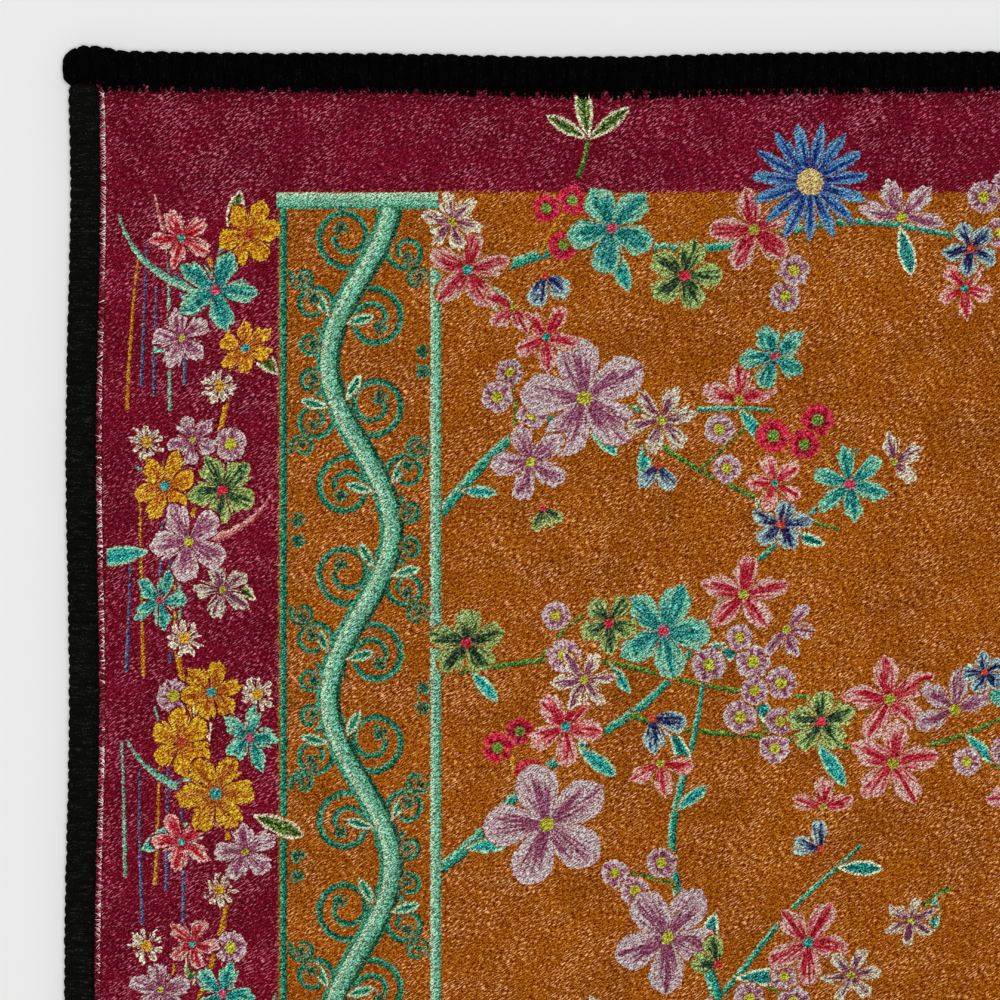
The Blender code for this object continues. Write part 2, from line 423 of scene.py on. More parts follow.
def posy(art, rng, number, x, y, lean):
    """One posy at a crest of the twig, with reeds beside it, blades and leaves."""
    # The reeds stand side by side next to the posy's foot.
    for k in range(5):
        dye = ("slate_twig", "gold_twig", "slate_twig", "slate_twig", "mint_blade")[(k + number) % 5]
        start = (-BORDER_X - 37.5 + 3.4 * k + rng.uniform(-1, 1), y - rng.uniform(20, 36))
        reed = walk(start, 90.0 + rng.uniform(-3, 3), rng.uniform(24, 46), rng.uniform(-6, 6))
        art.stem(reed, 0.9, 0.5, dye)
    # The blades bend over, away from the side that the posy leans to.
    for k in range(3):
        dye = ("mint_blade", "pink_blade", "mint_blade")[(k + number) % 3]
        heading = 90.0 - lean * (12.0 + 38.0 * k)
        start = (x, y - 8.0 + 4.0 * k)
        blade = walk(start, heading, rng.uniform(24, 34), lean * rng.uniform(35, 85), step=4.0)
        art.stem(blade, 3.2, 0.4, dye)
    for k in range(3):
        heading = math.radians(90 + k * 118 + rng.uniform(-20, 20))
        base = (x + 9.0 * math.cos(heading), y + 14.0 * math.sin(heading))
        art.leaf(base, heading, rng.uniform(11, 14), ("leaf_green", "leaf_mint")[k % 2])
    # The outer blossoms are laid first, and the middle one covers them.
    dyes = POSY_DYES[number % len(POSY_DYES)]
    for k in reversed(range(len(POSY))):
        across, along, reach = POSY[k]
        reach *= rng.uniform(0.92, 1.08)
        squash = rng.uniform(0.80, 1.0)
        heading = rng.uniform(0.0, math.tau)
        centre = (min(max(x + lean * across, -288.5 + reach), -BORDER_X - 1.0), y + along)
        if not 3.0 < centre[1] < 415.0:
            continue
        if k < 6:
            art.blossom(centre, reach, POSY_SHAPES.get(dyes[k], "star"), dyes[k], heading, squash)
        else:
            shape, dye = (("small_daisy", "ivory"), ("round", "lilac"))[k % 2]
            art.blossom(centre, reach, shape, dye, heading)


def border_garland(art, rng):
    """The side border's garland: a weaving gold twig with posies at its crests."""
    middle = -(BORDER_X + 19.0)
    line = (middle, TWIG_SWING, TWIG_WAVE)
    reach, step = 408.0, 5.0
    count = int(reach / step)
    twig = [on_wave(line, -4.0 + reach * i / count) for i in range(count + 1)]
    art.stem(twig, 1.3, 1.3, "gold_twig")
    for number in range(7):
        y = 18.0 + TWIG_WAVE / 2 * number
        x = on_wave(line, y)[0]
        posy(art, rng, number, x, y, 1 if x < middle else -1)


def round_cluster(art, rng, start, heading, dye, length=20.0, many=3):
    """A fine twig with small round blossoms at its side and end."""
    path = walk(start, heading, length, rng.uniform(-50, 50), step=4.5)
    art.stem(path, 1.0, 0.7, rng.choice(("twig", "twig", "gold_twig")))
    for k in range(many):
        place, facing = point_on(path, 1.0 - 0.34 * k)
        side = (0.0, 4.2, -4.2)[k % 3]
        centre = aside(place, facing, side)
        reach = rng.uniform(3.4, 4.4)
        if room_at(art, centre, reach):
            art.blossom(centre, reach, "round", dye, rng.uniform(0, 1))


# The field's branches. Columns: start x, start y, heading, length, bend, dye of the stem.
BRANCHES = (
    (-212.4, 250.0, 34.0, 152.0, 22.0, "vine"),
    (-212.4, 338.0, 48.0, 96.0, -66.0, "vine"),
    (-212.4, 300.0, 4.0, 122.0, -24.0, "twig"),
    (-212.4, 186.0, 12.0, 132.0, 44.0, "vine"),
    (-212.4, 118.0, 30.0, 136.0, -36.0, "vine"),
    (-212.4, 40.0, 24.0, 142.0, 30.0, "vine"),
    (-212.4, 396.0, 12.0, 164.0, -16.0, "vine"),
    (0.0, 96.0, 132.0, 112.0, -52.0, "twig"),
    (0.0, 22.0, 150.0, 102.0, -60.0, "vine"),
    (0.0, 292.0, 100.0, 104.0, 34.0, "twig"),
    (0.0, 236.0, 156.0, 96.0, -70.0, "vine"),
)
# Branches that fork off another.
# Columns: number of the other, part of its length, turn from it, length, bend, dye.
FORKS = (
    (0, 0.42, -58.0, 112.0, 46.0, "twig"),
    (1, 0.62, -52.0, 62.0, 50.0, "twig"),
    (3, 0.60, 62.0, 96.0, -40.0, "vine"),
)
# Large blossoms in turn along the branches.
# Columns: kind, dye, smallest and largest reach, petals shown (0 for all).
BIG_TURN = (
    ("lily", "lilac", 15.5, 19.0, 0),
    ("star", "coral", 10.5, 12.5, 0),
    ("six", "cream", 8.5, 10.5, 0),
    ("lobed", "slate", 7.5, 9.0, 2),
    ("star", "coral_lime", 9.0, 11.0, 3),
    ("lily", "mint", 11.5, 13.5, 0),
    ("lobed", "olive", 8.5, 10.5, 0),
    ("star", "coral_lime", 10.5, 13.0, 0),
    ("six", "lilac", 9.5, 11.5, 4),
    ("lobed", "slate", 7.0, 8.5, 0),
    ("star", "coral", 8.5, 11.0, 0),
    ("six", "mint", 8.5, 10.5, 0),
    ("star", "cream", 8.5, 10.5, 3),
    ("star", "lilac", 9.5, 12.0, 0),
    ("lobed", "olive", 7.5, 9.0, 2),
)


def field_branches(art, rng):
    """The field's flowering branches, with blossoms, buds, leaves and fine side twigs."""
    rows = list(BRANCHES)
    paths = []
    for number in range(len(BRANCHES) + len(FORKS)):
        if number >= len(BRANCHES):
            parent, part, turned, *rest = FORKS[number - len(BRANCHES)]
            place, facing = point_on(paths[parent], part)
            rows.append((*place, math.degrees(facing) + turned, *rest))
        x, y, heading, length, bend, dye = rows[number]
        sway = 11.0 if dye == "vine" else 8.0
        paths.append(walk((x, y), heading, length, bend, sway, length / 70.0, step=4.0))
        art.stem(paths[-1], 3.0 if dye == "vine" else 1.5, 0.9, dye)
    later = []
    turn = 0

    def try_blossom(centre, facing, row, share, scale=1.0):
        """Keeps a blossom for later if there is room for it."""
        shape, dye, small, large, shown = row
        reach = rng.uniform(small, large) * scale
        if not room_at(art, centre, reach, share) or centre[1] > BORDER_Y - reach * 0.5:
            return None
        if centre[0] < -(BORDER_X - BAND_WIDTH) + 1.0:
            return None
        half_fan = math.pi * (shown - 1) / BLOSSOM_SHAPE[shape][0]
        heading = facing - half_fan if shown else rng.uniform(0, 1.3)
        later.append((centre, reach, shape, dye, heading, rng.uniform(0.84, 1.0), shown or None))
        art.circles.append((*centre, reach))
        return reach

    for path, row in zip(paths, rows):
        spots = max(4, round(row[3] / 18.0))
        for k in range(spots):
            place, facing = point_on(path, min((k + 0.55) / spots, 1.0))
            side = 1 if k % 2 == 0 else -1
            kind = BIG_TURN[turn % len(BIG_TURN)]
            centre = aside(place, facing, side * kind[2] * rng.uniform(0.15, 0.85))
            away = facing + side * math.radians(90.0)
            reach = try_blossom(centre, away, kind, 0.66)
            if reach:
                turn += 1
                # Every second blossom has a smaller one beside it, half behind.
                if turn % 2 == 0:
                    kind = BIG_TURN[turn % len(BIG_TURN)]
                    angle = away + rng.uniform(-1.1, 1.1)
                    far = (reach + kind[2] * 0.8) * 0.72
                    beside = (centre[0] + far * math.cos(angle), centre[1] + far * math.sin(angle))
                    if try_blossom(beside, angle, kind, 0.60, 0.8):
                        turn += 1
            degrees = math.degrees(facing)
            leaf_turn = facing - side * math.radians(rng.uniform(35, 70))
            if k % 2 == 0:
                dye = rng.choice(("leaf_teal", "leaf_mint", "leaf_mint"))
                art.leaf(place, leaf_turn, rng.uniform(9, 14), dye)
            if k % 3 == 1:
                heading = degrees - side * rng.uniform(45, 75)
                dye = ("lilac", "scarlet", "lilac", "lilac")[turn % 4]
                round_cluster(art, rng, place, heading, dye, 16.0)
    later.sort(key=lambda row: -row[1])
    for row in later:
        art.circles.remove((*row[0], row[1]))
        art.blossom(*row)


def loose_sprigs(art, rng):
    """Small sprigs where the field would stay empty, with some ground left open."""
    for _ in range(900):
        x = rng.uniform(-200.0, -8.0)
        y = rng.uniform(8.0, BORDER_Y - 12.0)
        if not room_at(art, (x, y), 15.0, 1.0):
            continue
        kind = rng.random()
        heading = rng.uniform(0, 360)
        if kind < 0.4:
            c, s = math.cos(math.radians(heading)), math.sin(math.radians(heading))
            dye = rng.choice(("lilac", "scarlet", "ivory"))
            round_cluster(art, rng, (x - 8.0 * c, y - 8.0 * s), heading, dye, 15.0)
        elif kind < 0.85:
            path = walk((x, y), heading, 13.0, 40.0, step=4.5)
            art.stem(path, 1.1, 0.8, "twig")
            art.leaf(path[1][:2], math.radians(heading + 60), 9.0, "leaf_mint")
            dye = rng.choice(("cream", "mint", "lilac", "coral"))
            art.blossom(path[-1][:2], rng.uniform(7.0, 9.0), "six", dye, 0.4, rng.uniform(0.8, 1.0))
        art.circles.append((x, y, 13.0))


def leaf_sprig(art, start, heading):
    """Three pale-rimmed leaves on a short twig."""
    path = walk(start, heading, 10.0, 20.0, step=4.0)
    art.stem(path, 1.2, 0.9, "twig")
    for turn, length in ((-52.0, 13.0), (8.0, 15.0), (60.0, 12.0)):
        art.leaf(path[-1][:2], path[-1][2] + math.radians(turn), length, "leaf_green", 0.36)


def design():
    """The whole print of the rug's upper left quarter, in the order that it is laid."""
    rng = random.Random(11)
    art = Print()
    border_garland(art, rng)
    field_branches(art, rng)
    scroll_band(art)
    loose_sprigs(art, rng)
    art.blossom((-118.0, 423.0), 15.0, "daisy", "blue", 0.1)
    leaf_sprig(art, (-176.0, 424.0), 70.0)
    leaf_sprig(art, (-52.0, 426.0), 110.0)
    # Stems are laid first, then leaves, then blossoms.
    art.patches.sort(key=lambda patch: -patch.kind)
    return art


# The sheet: the print's patches as one flat mesh, with rounded sides and an underside.


def print_outline():
    """The quarter's own outline, with a point at each grid step."""
    across = [-PRINT_X * (1 - i / GRID_ACROSS) for i in range(GRID_ACROSS + 1)]
    along = [PRINT_Y * i / GRID_ALONG for i in range(GRID_ALONG + 1)]
    points = [(x, 0.0) for x in across[:-1]]
    points += [(0.0, y) for y in along[:-1]]
    points += [(x, PRINT_Y) for x in reversed(across[1:])]
    points += [(-PRINT_X, y) for y in reversed(along[1:])]
    return points


def cut_quarter(art):
    """Cuts the quarter along every patch's outline. Returns points, triangles and their top patch."""
    points = [Vector(place) for place in print_outline()]
    faces = [list(range(len(points)))]
    for patch in art.patches:
        faces.append(list(range(len(points), len(points) + len(patch.points))))
        points += [Vector(place) for place in patch.points]
    for i in range(1, GRID_ACROSS):
        for j in range(1, GRID_ALONG):
            points.append(Vector((-PRINT_X * i / GRID_ACROSS, PRINT_Y * j / GRID_ALONG)))
    made = geometry.delaunay_2d_cdt(points, [], faces, 1, 1e-4, True)
    places, triangles, owners = made[0], made[2], made[5]
    kept = [number for number, owner in enumerate(owners) if 0 in owner]
    used, triangles = np.unique([triangles[number] for number in kept], return_inverse=True)
    return (
        np.array([tuple(places[number]) for number in used]),
        triangles.reshape(-1, 3),
        np.array([max(owners[number]) - 1 for number in kept]),
    )


def snapped(value):
    """A coordinate, put exactly on the middle line where it is within a hair of it."""
    return 0.0 if abs(value) < 0.002 else round(float(value), 6)


def mirrored(places, triangles, owners):
    """The whole print from its quarter, with the points on the two middle lines shared."""
    numbers = {}
    whole, faces, tops, sources = [], [], [], []
    for sign_x, sign_y in ((1, 1), (-1, 1), (1, -1), (-1, -1)):
        shared = []
        for x, y in places:
            key = (snapped(x) * sign_x, snapped(y) * sign_y)
            if key not in numbers:
                numbers[key] = len(whole)
                whole.append(key)
            shared.append(numbers[key])
        shared = np.array(shared)
        turned = triangles if sign_x == sign_y else triangles[:, ::-1]
        faces.append(shared[turned])
        sources.append(turned)
        tops.append(owners)
    faces, sources, tops = np.vstack(faces), np.vstack(sources), np.concatenate(tops)
    real = (
        (faces[:, 0] != faces[:, 1]) & (faces[:, 1] != faces[:, 2]) & (faces[:, 2] != faces[:, 0])
    )
    return whole, faces[real], sources[real], tops[real]


# The sheet's rounded side: how far in from its own edge and how high each ring of points lies.
# The last rings go round the thin backing rim that the edging grips.
RIM_REACH = 2.7
RIM_LOW, RIM_HIGH = 2.1, 4.3
SIDE_RINGS = ((0.55, -0.08), (0.2, -0.35), (0.0, -1.0))
# Bands of faces from the pile down to the underside, and how many of them are printed pile.
SIDE_BANDS, PILE_BANDS = 8, 5


def edge_point(x, y, side_inset, end_inset):
    """Where a point of the print's outline lies on the rug's wavering outline."""
    wide = x * (RUG_WIDTH / 2 - KNOB_OUT - side_inset) / PRINT_X
    long = y * (RUG_LENGTH / 2 - KNOB_RISE - end_inset) / PRINT_Y
    on_side, on_end = abs(x) > PRINT_X - ON_EDGE, abs(y) > PRINT_Y - ON_EDGE
    return (
        side_line("left" if x < 0 else "right", long, side_inset) if on_side else wide,
        end_line("top" if y > 0 else "bottom", wide, end_inset) if on_end else long,
    )


def sheet_mesh(art):
    """The printed pile cloth as one closed mesh, with the frame of each patch in its faces."""
    quarter, triangles, owners = cut_quarter(art)
    whole, faces, sources, tops = mirrored(quarter, triangles, owners)
    points = [(x, y, PILE_HEIGHT) for x, y in whole]
    rim = [
        number
        for number, (x, y) in enumerate(whole)
        if abs(x) > PRINT_X - ON_EDGE or abs(y) > PRINT_Y - ON_EDGE
    ]
    rim.sort(key=lambda number: math.atan2(whole[number][1] / PRINT_Y, whole[number][0] / PRINT_X))
    rings = [rim]
    side, end = SIDE_EDGING + GAP, END_EDGING + GAP
    levels = [(side + inset, end + inset, PILE_HEIGHT + drop) for inset, drop in SIDE_RINGS]
    levels += [(side, end, RIM_HIGH), (RIM_REACH, RIM_REACH, RIM_HIGH)]
    levels += [(RIM_REACH, RIM_REACH, RIM_LOW), (side, end, RIM_LOW), (side, end, 0.0)]
    for side_inset, end_inset, height in levels:
        ring = []
        for number in rim:
            x, y = edge_point(*whole[number], side_inset, end_inset)
            ring.append(len(points))
            points.append((x, y, height))
        rings.append(ring)
    walls = []
    for upper, lower in zip(rings, rings[1:]):
        for i in range(len(rim)):
            k = (i + 1) % len(rim)
            walls.append((upper[i], lower[i], lower[k], upper[k]))
    bottom = tuple(reversed(rings[-1]))
    mesh = bpy.data.meshes.new("printed_pile_cloth")
    every = [tuple(int(n) for n in face) for face in faces] + walls + [bottom]
    mesh.from_pydata([(x * MM, y * MM, z * MM) for x, y, z in points], [], every)
    paint_patches(mesh, art, quarter, sources, tops, len(walls))
    return mesh


def paint_patches(mesh, art, quarter, sources, tops, wall_count):
    """Gives the mesh's faces their material, dyes, shape and the patch's own flat map."""
    count = len(mesh.polygons)
    kinds = np.full(count, GROUND, dtype=np.int32)
    kinds[-1] = UNDERNEATH
    kinds[-1 - (SIDE_BANDS - PILE_BANDS) * (wall_count // SIDE_BANDS) : -1] = UNDERNEATH
    shape = np.zeros((count, 3))
    form = np.zeros((count, 3))
    dyes = {name: np.zeros((count, 4)) for name in ("rim", "middle", "stroke", "eye")}
    # No two motifs took quite the same dye.
    rng = random.Random(5)
    shades = [rng.uniform(0.88, 1.12) for _ in art.patches]
    colours = [[linear(text) for text in row[1:]] for row in DYES]
    flat = np.zeros((len(mesh.loops), 2))
    for face, (top, source) in enumerate(zip(tops, sources)):
        if top < 0:
            continue
        patch = art.patches[top]
        kinds[face] = patch.kind
        shape[face] = patch.size
        form[face] = (*patch.form, (top % 97) * 0.37)
        for name, colour in zip(dyes, colours[patch.dye]):
            dyes[name][face] = [channel * shades[top] for channel in colour[:3]] + [1.0]
        c, s = math.cos(patch.heading), math.sin(patch.heading)
        offset = quarter[source] - np.array(patch.origin)
        start = mesh.polygons[face].loop_start
        flat[start : start + 3, 0] = offset @ np.array((c, s)) + patch.along
        flat[start : start + 3, 1] = offset @ np.array((-s, c)) / patch.squash
    mesh.polygons.foreach_set("material_index", kinds)
    mesh.attributes.new("motif_shape", "FLOAT_VECTOR", "FACE").data.foreach_set("vector", shape.ravel())
    mesh.attributes.new("motif_form", "FLOAT_VECTOR", "FACE").data.foreach_set("vector", form.ravel())
    for name, values in dyes.items():
        made = mesh.attributes.new("dye_" + name, "FLOAT_COLOR", "FACE")
        made.data.foreach_set("color", values.ravel())
    mesh.uv_layers.new(name="motif").data.foreach_set("uv", flat.ravel())


# Materials. Real pile fibres are a few hundredths of a millimetre thick, too fine to show, so the
# strokes of pile are drawn about this long and wide. The pile leans to the right by this angle.
STROKE_LENGTH, STROKE_WIDTH = 1.25, 0.27
PILE_LEAN = 33.0
# How deep the drawn fibres, threads and strands are, for the light on them.
RELIEF = 0.3 * MM


def linear(hex_colour):
    """An sRGB hex colour as linear red, green, blue and alpha."""
    channels = [int(hex_colour[i : i + 2], 16) / 255 for i in (1, 3, 5)]
    return (
        *(c / 12.92 if c <= 0.04045 else ((c + 0.055) / 1.055) ** 2.4 for c in channels),
        1.0,
    )


def add(tree, kind, *links, **settings):
    """Adds a node with its settings, and links or sets its inputs in order."""
    node = tree.nodes.new("ShaderNode" + kind)
    for name, value in settings.items():
        setattr(node, name, value)
    for number, link in enumerate(links):
        if isinstance(link, bpy.types.Node):
            link = link.outputs[0]
        if isinstance(link, bpy.types.NodeSocket):
            tree.links.new(link, node.inputs[number])
        elif link is not None:
            node.inputs[number].default_value = link
    return node


def new_material(name):
    """An empty node material."""
    material = bpy.data.materials.new(name)
    material.use_nodes = True
    material.node_tree.nodes.clear()
    return material, material.node_tree


def place_in_mm(tree):
    """The place on the object, in millimetres."""
    coordinates = add(tree, "TexCoord").outputs["Object"]
    return add(tree, "VectorMath", coordinates, None, None, 1 / MM, operation="SCALE")


def wander(tree, place, scale, reach, detail=1.0, roughness=0.5):
    """How far a printed line strays among the fibres, up to half this reach either way."""
    noise = add(tree, "TexNoise", place, None, scale, detail, roughness)
    noise = add(tree, "Math", noise, 0.5, operation="SUBTRACT")
    return add(tree, "Math", noise, reach, operation="MULTIPLY")


def ground_colour(tree, place):
    """The plain dyed ground: a crimson border round a gold field, with faint blotches."""
    apart = add(tree, "SeparateXYZ", add(tree, "VectorMath", place, operation="ABSOLUTE"))
    fray = wander(tree, place, 1.6, 2.2)
    past_side = add(tree, "Math", apart.outputs[0], BORDER_X, operation="SUBTRACT")
    past_end = add(tree, "Math", apart.outputs[1], BORDER_Y, operation="SUBTRACT")
    past = add(tree, "Math", past_side, past_end, operation="MAXIMUM")
    past = add(tree, "Math", past, fray, operation="ADD")
    in_border = add(tree, "MapRange", past, -0.2, 0.2)
    colour = add(tree, "MixRGB", in_border, linear(GOLD), linear(CRIMSON))
    blotch = add(tree, "TexNoise", place, None, 0.07, 3.0)
    blotch = add(tree, "MapRange", blotch, 0.3, 0.7, 0.86, 1.16)
    # The black end edging shades the last few millimetres of pile.
    shaded = add(tree, "MapRange", apart.outputs[1], PRINT_Y - 3.1, PRINT_Y + 0.9, 1.0, 0.60)
    shade = add(tree, "Math", blotch, shaded, operation="MULTIPLY")
    return add(tree, "VectorMath", colour, None, None, shade, operation="SCALE")


def pile_finish(tree, place, colour, strokes, painted_speck_strength):
    """Lays the cut pile over a dye colour: fibre ends with painted light and shade, painted glints and their
    relief.
    """
    # The pile leans one way, so its fibres are short strokes that rise to the right.
    rise = (0.0, 0.0, math.radians(PILE_LEAN))
    drawn = (STROKE_LENGTH, STROKE_WIDTH, 1.0)
    lean = add(tree, "Mapping", place, None, rise, drawn, vector_type="TEXTURE")
    strand = add(tree, "TexNoise", lean, None, 1.0, 1.0)
    fibre = add(tree, "TexNoise", place, None, 2.7, 1.0)
    pile = add(tree, "Math", strand, fibre, operation="ADD")
    # Painted light and shade: the fibre ends are painted lighter and the gaps between them darker.
    shade = add(tree, "MapRange", pile, 0.80, 1.20, 0.30, 1.60)
    # Painted shade in the gaps between fibres: darker and redder than the lit tips, so green and blue fall
    # off faster.
    deep = add(tree, "Math", shade, 1.8, operation="POWER")
    shade = add(tree, "CombineXYZ", shade, deep, deep)
    dyed = add(tree, "VectorMath", colour, shade, operation="MULTIPLY")
    # Painted glints: pale highlights on the fibre ends, denser in patches where the pile is brushed.
    glint_patches = add(tree, "TexNoise", place, None, 0.12, 3.0)
    glint_patches = add(tree, "MapRange", glint_patches, 0.35, 0.65, -0.045, 0.045)
    painted_glint = add(tree, "MapRange", add(tree, "Math", strand, glint_patches, operation="ADD"), 0.62, 0.67)
    # The strokes argument sets how strong the painted glints are.
    painted_glint = add(tree, "Math", painted_glint, strokes, operation="MULTIPLY")
    # Painted specks: small pale highlights scattered over the fibres.
    painted_speck = add(tree, "MapRange", fibre, 0.62, 0.72)
    painted_speck = add(tree, "Math", painted_speck, painted_speck_strength, operation="MULTIPLY")
    painted_glint = add(tree, "Math", painted_glint, painted_speck, operation="MAXIMUM")
    # A painted glint is the dye brightened and tinted, mixed over the pile.
    glint_tint = linear(PAINTED_GLINT_TINT)[:3]
    painted_glint_colour = add(tree, "VectorMath", colour, (2.6, 4.6, 5.0), glint_tint, operation="MULTIPLY_ADD")
    painted_glint_colour = add(tree, "VectorMath", painted_glint_colour, (1.0, 0.96, 0.93), operation="MINIMUM")
    dyed = add(tree, "MixRGB", painted_glint, dyed, painted_glint_colour)
    relief = add(tree, "Math", pile, painted_glint, operation="ADD")
    bump = add(tree, "Bump", 0.5, RELIEF, None, relief)
    shader = add(tree, "BsdfPrincipled", dyed)
    shader.inputs["Roughness"].default_value = 0.85
    shader.inputs["IOR"].default_value = 1.5
    shader.inputs["Specular IOR Level"].default_value = 0.03
    tree.links.new(bump.outputs[0], shader.inputs["Normal"])
    add(tree, "OutputMaterial", shader)


def ground_material():
    """Printed polyester pile, ground dye: short lean strokes of painted glint and painted shade over the
    dye.
    """
    material, tree = new_material("Printed polyester pile, ground")
    place = place_in_mm(tree)
    # Painted glints at full strength on the ground, with few painted specks.
    pile_finish(tree, place, ground_colour(tree, place), 1.0, 0.12)
    return material


def motif_parts(tree):
    """The patch's flat map in mm, its shape, form and dyes."""
    flat = add(tree, "SeparateXYZ", add(tree, "UVMap", uv_map="motif"))
    shape, form = (
        add(tree, "SeparateXYZ", add(tree, "Attribute", attribute_name=name).outputs["Vector"])
        for name in ("motif_shape", "motif_form")
    )
    dyes = [
        add(tree, "Attribute", attribute_name="dye_" + name).outputs["Color"]
        for name in ("rim", "middle", "stroke", "eye")
    ]
    return flat, shape, form, dyes


def profile(tree, x, plump, tip):
    """Half the width of a petal or leaf at x, as petal_width gives it."""
    x = add(tree, "Math", x, 0.001, operation="MAXIMUM")
    rise = add(tree, "Math", x, 0.85, operation="POWER")
    fall = add(tree, "Math", 1.0, add(tree, "Math", x, tip, operation="POWER"), operation="SUBTRACT")
    fall = add(tree, "Math", fall, 0.0, operation="MAXIMUM")
    fall = add(tree, "Math", fall, 0.75, operation="POWER")
    width = add(tree, "Math", rise, fall, operation="MULTIPLY")
    return add(tree, "Math", width, plump, operation="MULTIPLY")


def finish_motif(tree, place, inside, colour):
    """Shows the motif inside its frayed edge and the ground past it."""
    fray = wander(tree, place, 1.9, 1.5, 2.0, 0.6)
    inside = add(tree, "Math", inside, fray, operation="ADD")
    shown = add(tree, "MapRange", inside, -0.08, 0.08)
    colour = add(tree, "MixRGB", shown, ground_colour(tree, place), colour)
    # Weaker painted glints and more painted specks on the motifs than on the ground.
    pile_finish(tree, place, colour, 0.40, 0.75)


def blossom_material():
    """Printed polyester pile, blossoms: brushed strokes run from each eye into pale petals."""
    material, tree = new_material("Printed polyester pile, blossoms")
    place = place_in_mm(tree)
    flat, shape, form, (rim, middle, stroke, eye) = motif_parts(tree)
    x, y = flat.outputs[0], flat.outputs[1]
    reach, plump, eye_size = shape.outputs[0], shape.outputs[1], shape.outputs[2]
    petals, tip, seed = form.outputs[0], form.outputs[1], form.outputs[2]
    far = add(tree, "VectorMath", add(tree, "UVMap", uv_map="motif"), operation="LENGTH").outputs[1]
    far = add(tree, "Math", far, reach, operation="DIVIDE")
    turn = add(tree, "Math", y, x, operation="ARCTAN2")
    sector = add(tree, "Math", math.tau, petals, operation="DIVIDE")
    petal = add(tree, "Math", add(tree, "Math", turn, sector, operation="DIVIDE"), operation="ROUND")
    petal_turn = add(tree, "Math", petal, sector, operation="MULTIPLY")
    turn = add(tree, "Math", turn, petal_turn, operation="SUBTRACT")
    along = add(tree, "Math", far, add(tree, "Math", turn, operation="COSINE"), operation="MULTIPLY")
    across = add(tree, "Math", far, add(tree, "Math", turn, operation="SINE"), operation="MULTIPLY")
    off = add(tree, "Math", across, operation="ABSOLUTE")
    width = profile(tree, along, plump, tip)
    margin = add(tree, "Math", width, off, operation="SUBTRACT")
    inside = add(tree, "Math", margin, reach, operation="MULTIPLY")
    # Strokes fan out from the eye and break up towards the petal's tip.
    fan = add(tree, "Math", across, add(tree, "Math", along, 0.16, operation="ADD"), operation="DIVIDE")
    strokes = add(tree, "Math", reach, 0.85, operation="MULTIPLY")
    fan = add(tree, "Math", fan, strokes, operation="MULTIPLY")
    # Each petal has strokes of its own.
    own = add(tree, "Math", petal, 17.3, operation="MULTIPLY")
    own = add(tree, "Math", own, seed, operation="ADD")
    lengthwise = add(tree, "Math", along, 1.6, operation="MULTIPLY")
    streak = add(tree, "TexNoise", add(tree, "CombineXYZ", fan, lengthwise, own), None, 1.0, 1.5)
    grain = add(tree, "TexNoise", place, None, 1.7, 1.0)
    streak = add(tree, "Math", streak, add(tree, "Math", grain, 0.22, operation="MULTIPLY"), operation="ADD")
    edge = add(tree, "Math", off, add(tree, "Math", width, 0.02, operation="MAXIMUM"), operation="DIVIDE")
    # Small blossoms have toothed petals, and large ones nearly smooth petals.
    teeth = add(tree, "MapRange", reach, 9.0, 16.0, 5.0, 1.6)
    serrated = add(tree, "Math", streak, 0.65, operation="SUBTRACT")
    serrated = add(tree, "Math", serrated, teeth, operation="MULTIPLY")
    inside = add(tree, "Math", inside, serrated, operation="ADD")
    # The strokes fade out towards the tip and the sides.
    edge = add(tree, "Math", edge, 1.6, operation="POWER")
    to_side = add(tree, "Math", edge, 0.40, operation="MULTIPLY")
    to_tip = add(tree, "Math", along, 0.36, operation="MULTIPLY")
    level = add(tree, "Math", to_tip, to_side, operation="ADD")
    level = add(tree, "Math", streak, level, operation="SUBTRACT")
    in_middle = add(tree, "MapRange", level, 0.25, 0.29)
    in_stroke = add(tree, "MapRange", level, 0.37, 0.39)
    colour = add(tree, "MixRGB", in_middle, rim, middle)
    colour = add(tree, "MixRGB", in_stroke, colour, stroke)
    near = add(tree, "Math", far, wander(tree, place, 1.7, 0.12), operation="ADD")
    near = add(tree, "Math", near, eye_size, operation="SUBTRACT")
    in_eye = add(tree, "MapRange", near, 0.015, -0.015)
    colour = add(tree, "MixRGB", in_eye, colour, eye)
    # No ground shows through the eye.
    in_heart = add(tree, "MapRange", near, -0.015, 0.015, 3.0, 0.0)
    inside = add(tree, "Math", inside, in_heart, operation="ADD")
    finish_motif(tree, place, inside, colour)
    return material


def leaf_material():
    """Printed polyester pile, leaves: a pale rim, a dark midrib and slanting side veins."""
    material, tree = new_material("Printed polyester pile, leaves")
    place = place_in_mm(tree)
    flat, shape, form, (rim, middle, stroke, _) = motif_parts(tree)
    along, across = flat.outputs[0], flat.outputs[1]
    length, plump, tip = shape.outputs[0], shape.outputs[1], form.outputs[1]
    off = add(tree, "Math", across, operation="ABSOLUTE")
    width = profile(tree, add(tree, "Math", along, length, operation="DIVIDE"), plump, tip)
    width = add(tree, "Math", width, length, operation="MULTIPLY")
    inside = add(tree, "Math", width, off, operation="SUBTRACT")
    stray = wander(tree, place, 1.7, 1.3)
    body = add(tree, "MapRange", add(tree, "Math", inside, stray, operation="ADD"), 0.62, 0.78)
    colour = add(tree, "MixRGB", body, rim, middle)
    vein = add(tree, "Math", along, add(tree, "Math", off, 1.3, operation="MULTIPLY"), operation="SUBTRACT")
    vein = add(tree, "Math", vein, stray, operation="ADD")
    vein = add(tree, "Math", vein, 2.1, operation="FLOORED_MODULO")
    vein = add(tree, "MapRange", vein, 0.75, 0.55)
    midrib = add(tree, "MapRange", add(tree, "Math", off, stray, operation="ADD"), 0.42, 0.30)
    lines = add(tree, "Math", vein, midrib, operation="MAXIMUM")
    lines = add(tree, "Math", lines, body, operation="MULTIPLY")
    colour = add(tree, "MixRGB", lines, colour, stroke)
    finish_motif(tree, place, inside, colour)
    return material


